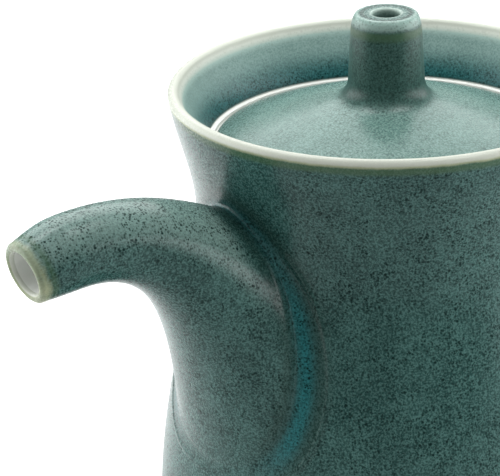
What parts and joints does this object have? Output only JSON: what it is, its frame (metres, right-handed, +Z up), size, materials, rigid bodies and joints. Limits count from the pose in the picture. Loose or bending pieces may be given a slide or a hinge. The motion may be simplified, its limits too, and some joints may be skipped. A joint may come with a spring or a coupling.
{
  "type": "lidded pourer bottle",
  "caption": "Small glazed porcelain pourer with a waisted pot, curved tube spout, recessed loose lid and a tubular knob with a vent hole.",
  "frame": {"origin": "centre of the foot ring's underside, on the pot's axis at table level", "axes": "+Z up along the pot's axis, +X towards the spout, XZ is the plane of symmetry"},
  "size_m": [0.1086, 0.077, 0.0957],
  "materials": {
    "pot_glaze": "semi-gloss speckled grey-green glaze that breaks cream at the rim and spout lip",
    "lid_glaze": "semi-gloss finely mottled grey-green glaze",
    "bare_porcelain": "unglazed fine white body"
  },
  "bodies": {
    "pot": {"body": "pot_glaze", "foot_ring": "bare_porcelain", "spout": "pot_glaze"},
    "lid": {"lid": "lid_glaze", "lid_flange": "bare_porcelain", "lid_knob": "lid_glaze"}
  },
  "joints": [
    {"name": "lid_lift", "type": "slide", "parent": "pot", "child": "lid", "axis": [0, 0, 1], "range_m": [0, 0.05]}
  ]
}
